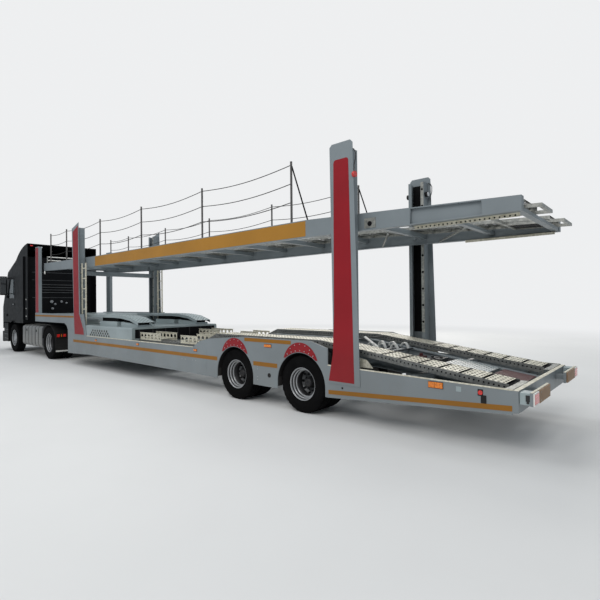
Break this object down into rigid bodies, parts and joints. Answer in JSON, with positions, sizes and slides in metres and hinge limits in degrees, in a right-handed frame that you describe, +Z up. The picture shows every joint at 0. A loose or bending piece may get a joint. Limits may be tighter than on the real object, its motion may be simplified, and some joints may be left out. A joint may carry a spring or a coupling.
{
  "type": "car transporter truck with two-deck semi-trailer",
  "caption": "Articulated car transporter: black cab-over tractor hinged to a two-deck car-carrying semi-trailer with lifting upper deck, guard rail and twin wheels.",
  "frame": {"origin": "on the ground under the middle of the whole vehicle", "axes": "+X forward, +Y to the vehicle's left, +Z up"},
  "size_m": [18.77, 3.08, 4.05],
  "materials": {
    "trailer_paint": "light blue-grey paint, semi-gloss",
    "galvanised": "galvanised steel, matt",
    "running_gear": "black-painted castings and forgings",
    "lamp_plastic": "red and amber lenses",
    "red_paint": "red paint",
    "rope": "dark woven rope",
    "chassis_paint": "dark grey frame paint",
    "engine_iron": "plain block in place of the engine",
    "tank_aluminium": "bare aluminium",
    "black_plastic": "black moulded plastic",
    "black_paint": "black gloss paint",
    "cab_glass": "tinted glass",
    "cab_trim": "dark cloth and trim",
    "tyre": "rubber",
    "rim_paint": "silver wheel paint"
  },
  "bodies": {
    "trailer": {"trailer_frame": "trailer_paint", "frame_members": "trailer_paint", "side_skins": "trailer_paint", "deck_cover": "trailer_paint", "lower_tracks": "galvanised", "front_columns": "trailer_paint", "rear_columns": "trailer_paint", "gooseneck_posts": "trailer_paint", "ladders": "galvanised", "trailer_axles": "running_gear", "rear_bumper": "trailer_paint", "trailer_lamps": "lamp_plastic", "arch_trims": "red_paint", "wheel_liners": "black_plastic", "landing_legs": "running_gear"},
    "deck_carrier": {"deck_carrier": "trailer_paint"},
    "upper_deck": {"upper_deck_frame": "trailer_paint", "upper_members": "trailer_paint", "upper_tracks": "galvanised", "guard_posts": "galvanised", "guard_ropes": "rope"},
    "deck_extension": {"extension_frames": "galvanised"},
    "tractor": {"tractor_chassis": "chassis_paint", "chassis_members": "chassis_paint", "fifth_wheel": "running_gear", "tractor_axles": "running_gear", "engine": "engine_iron", "side_tanks": "tank_aluminium", "rear_guards": "black_plastic", "front_bumper": "black_paint", "tractor_lamps": "lamp_plastic"},
    "cab": {"cab_shell": "black_paint", "windscreen": "cab_glass", "cab_interior": "cab_trim", "roof_deflector": "black_paint"},
    "door_left": {"door_left": "black_paint", "door_glass_left": "cab_glass"},
    "knuckle_left": {"knuckle_left": "running_gear"},
    "trailer_rear_wheel_left": {"trailer_rear_tyre_left": "tyre", "trailer_rear_rim_left": "rim_paint"},
    "trailer_front_wheel_left": {"trailer_front_tyre_left": "tyre", "trailer_front_rim_left": "rim_paint"},
    "drive_wheel_left": {"drive_tyre_left": "tyre", "drive_rim_left": "rim_paint"},
    "steer_wheel_left": {"steer_tyre_left": "tyre", "steer_rim_left": "rim_paint"},
    "door_right": {"door_right": "black_paint", "door_glass_right": "cab_glass"},
    "knuckle_right": {"knuckle_right": "running_gear"},
    "trailer_rear_wheel_right": {"trailer_rear_tyre_right": "tyre", "trailer_rear_rim_right": "rim_paint"},
    "trailer_front_wheel_right": {"trailer_front_tyre_right": "tyre", "trailer_front_rim_right": "rim_paint"},
    "drive_wheel_right": {"drive_tyre_right": "tyre", "drive_rim_right": "rim_paint"},
    "steer_wheel_right": {"steer_tyre_right": "tyre", "steer_rim_right": "rim_paint"}
  },
  "joints": [
    {"name": "kingpin_turn", "type": "hinge", "parent": "trailer", "child": "tractor", "pos_m": [4.985, 0, 1.15], "axis": [0, 0, 1], "range_deg": [-60, 60]},
    {"name": "deck_lift", "type": "slide", "parent": "trailer", "child": "deck_carrier", "axis": [0, 0, 1], "range_m": [-0.6, 0.35]},
    {"name": "deck_tilt", "type": "hinge", "parent": "deck_carrier", "child": "upper_deck", "pos_m": [2.335, 0, 2.9], "axis": [0, -1, 0], "range_deg": [0, 5.5]},
    {"name": "extension_slide", "type": "slide", "parent": "upper_deck", "child": "deck_extension", "axis": [0.9991, 0, 0.0428], "range_m": [-0.19, 0.26]},
    {"name": "cab_tilt", "type": "hinge", "parent": "tractor", "child": "cab", "pos_m": [9.215, 0, 0.82], "axis": [0, 1, 0], "range_deg": [0, 55]},
    {"name": "door_left_open", "type": "hinge", "parent": "cab", "child": "door_left", "pos_m": [8.788, 1.254, 1.9], "axis": [0, 0, -1], "range_deg": [0, 75]},
    {"name": "steer_left_turn", "type": "hinge", "parent": "tractor", "child": "knuckle_left", "pos_m": [8.035, 0.87, 0.515], "axis": [0, 0, 1], "range_deg": [-38, 38]},
    {"name": "trailer_rear_roll_left", "type": "hinge", "parent": "trailer", "child": "trailer_rear_wheel_left", "pos_m": [-6.095, 1.08, 0.448], "axis": [0, 1, 0], "continuous": true},
    {"name": "trailer_front_roll_left", "type": "hinge", "parent": "trailer", "child": "trailer_front_wheel_left", "pos_m": [-4.535, 1.08, 0.448], "axis": [0, 1, 0], "continuous": true},
    {"name": "drive_roll_left", "type": "hinge", "parent": "tractor", "child": "drive_wheel_left", "pos_m": [4.535, 1.08, 0.515], "axis": [0, 1, 0], "continuous": true},
    {"name": "steer_roll_left", "type": "hinge", "parent": "knuckle_left", "child": "steer_wheel_left", "pos_m": [8.035, 1.08, 0.515], "axis": [0, 1, 0], "continuous": true},
    {"name": "door_right_open", "type": "hinge", "parent": "cab", "child": "door_right", "pos_m": [8.788, -1.254, 1.9], "axis": [0, 0, 1], "range_deg": [0, 75]},
    {"name": "steer_right_turn", "type": "hinge", "parent": "tractor", "child": "knuckle_right", "pos_m": [8.035, -0.87, 0.515], "axis": [0, 0, 1], "range_deg": [-38, 38]},
    {"name": "trailer_rear_roll_right", "type": "hinge", "parent": "trailer", "child": "trailer_rear_wheel_right", "pos_m": [-6.095, -1.08, 0.448], "axis": [0, 1, 0], "continuous": true},
    {"name": "trailer_front_roll_right", "type": "hinge", "parent": "trailer", "child": "trailer_front_wheel_right", "pos_m": [-4.535, -1.08, 0.448], "axis": [0, 1, 0], "continuous": true},
    {"name": "drive_roll_right", "type": "hinge", "parent": "tractor", "child": "drive_wheel_right", "pos_m": [4.535, -1.08, 0.515], "axis": [0, 1, 0], "continuous": true},
    {"name": "steer_roll_right", "type": "hinge", "parent": "knuckle_right", "child": "steer_wheel_right", "pos_m": [8.035, -1.08, 0.515], "axis": [0, 1, 0], "continuous": true}
  ],
  "couplings": [
    {"joint": "steer_right_turn", "follows": "steer_left_turn", "ratio": 1}
  ]
}
